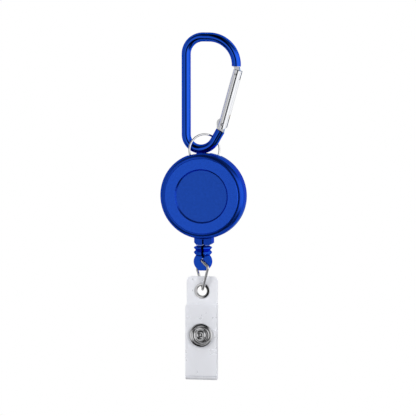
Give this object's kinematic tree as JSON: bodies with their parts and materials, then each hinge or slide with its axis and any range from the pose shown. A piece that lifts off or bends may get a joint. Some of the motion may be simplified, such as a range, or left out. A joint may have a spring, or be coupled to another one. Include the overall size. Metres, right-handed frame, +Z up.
{
  "type": "retractable badge reel",
  "caption": "Round spring-return badge reel hung from a snap-gate carabiner, with a ribbed cord connector, wire link and snap-fastened vinyl strap.",
  "frame": {"origin": "inside of the carabiner's crown, where it bears on what it hangs from", "axes": "+Z up, opposite to the hanging chain; -Y out of the reel's face; +X towards the gate side"},
  "size_m": [0.032, 0.0084, 0.1291],
  "materials": {
    "blue_anodised": "polished blue anodised",
    "steel_pin": "satin",
    "bare_aluminium": "polished, drawn along its length",
    "brass_plunger": "turned",
    "spring_steel": "drawn",
    "nickel_steel": "nickel plated, polished",
    "blue_chrome_plastic": "blue metallic, glossy",
    "blue_plastic": "semi gloss",
    "white_plastic": "moulded",
    "black_cord": "braided nylon",
    "clear_vinyl": "frosted, flexible"
  },
  "bodies": {
    "carabiner": {"carabiner_body": "blue_anodised", "gate_pivot_pin": "steel_pin"},
    "gate": {"carabiner_gate": "bare_aluminium", "gate_latch_pin": "steel_pin", "gate_spring": "spring_steel"},
    "plunger": {"gate_plunger": "brass_plunger"},
    "ring": {"split_ring": "nickel_steel"},
    "reel_case": {"front_case": "blue_chrome_plastic", "back_case": "blue_chrome_plastic", "bail_post": "steel_pin", "cord_guide": "blue_chrome_plastic", "friction_washer": "white_plastic", "axle_screw": "steel_pin", "main_spring": "spring_steel"},
    "spool": {"spool": "white_plastic", "spring_cover": "spring_steel", "cord_winding": "black_cord"},
    "connector": {"connector_body": "blue_plastic", "cord_knot": "black_cord", "cord_lead": "black_cord"},
    "link": {"wire_link": "nickel_steel"},
    "strap": {"strap_back": "clear_vinyl", "eyelet": "nickel_steel", "eyelet_washer": "nickel_steel", "snap_post": "nickel_steel", "snap_stud": "nickel_steel"},
    "flap": {"strap_flap": "clear_vinyl", "snap_socket": "nickel_steel", "snap_cap": "nickel_steel"}
  },
  "joints": [
    {"name": "gate_hinge", "type": "hinge", "parent": "carabiner", "child": "gate", "pos_m": [0.00628, 0, -0.03056], "axis": [0, -1, 0], "range_deg": [0, 30], "stiffness_Nm_per_rad": 0.004, "springref_deg": -34.38},
    {"name": "plunger_slide", "type": "slide", "parent": "gate", "child": "plunger", "axis": [0.2689, 0, 0.9632], "range_m": [0, 0.0005], "deforming": ["gate_spring"]},
    {"name": "ring_turn", "type": "hinge", "parent": "carabiner", "child": "ring", "pos_m": [-0.00085, 0, -0.0402], "axis": [-0.515, 0.8572, 0], "range_deg": [-12, 12]},
    {"name": "case_swing", "type": "hinge", "parent": "ring", "child": "reel_case", "pos_m": [-0.00085, 0, -0.04605], "axis": [1, 0, 0], "range_deg": [-2, 38]},
    {"name": "spool_spin", "type": "hinge", "parent": "reel_case", "child": "spool", "pos_m": [-0.00096, 0, -0.05707], "axis": [0, 1, 0], "continuous": true},
    {"name": "cord_pull", "type": "slide", "parent": "reel_case", "child": "connector", "axis": [0, 0, -1], "range_m": [0, 0.6], "stiffness_N_per_m": 0.5, "springref_m": -1.5, "deforming": ["cord_lead"]},
    {"name": "link_swing", "type": "hinge", "parent": "connector", "child": "link", "pos_m": [-0.0014, 0, -0.0812], "axis": [0, 1, 0], "range_deg": [-50, 50]},
    {"name": "strap_swing", "type": "hinge", "parent": "link", "child": "strap", "pos_m": [-0.0015, 0, -0.09195], "axis": [0, 1, 0], "range_deg": [-50, 50]},
    {"name": "flap_fold", "type": "hinge", "parent": "strap", "child": "flap", "pos_m": [-0.00165, -0.00254, -0.1243], "axis": [1, 0, 0], "range_deg": [0, 130]}
  ],
  "couplings": [
    {"joint": "plunger_slide", "follows": "gate_hinge", "m_per_rad": 0.00085638},
    {"joint": "spool_spin", "follows": "cord_pull", "rad_per_m": 130}
  ]
}
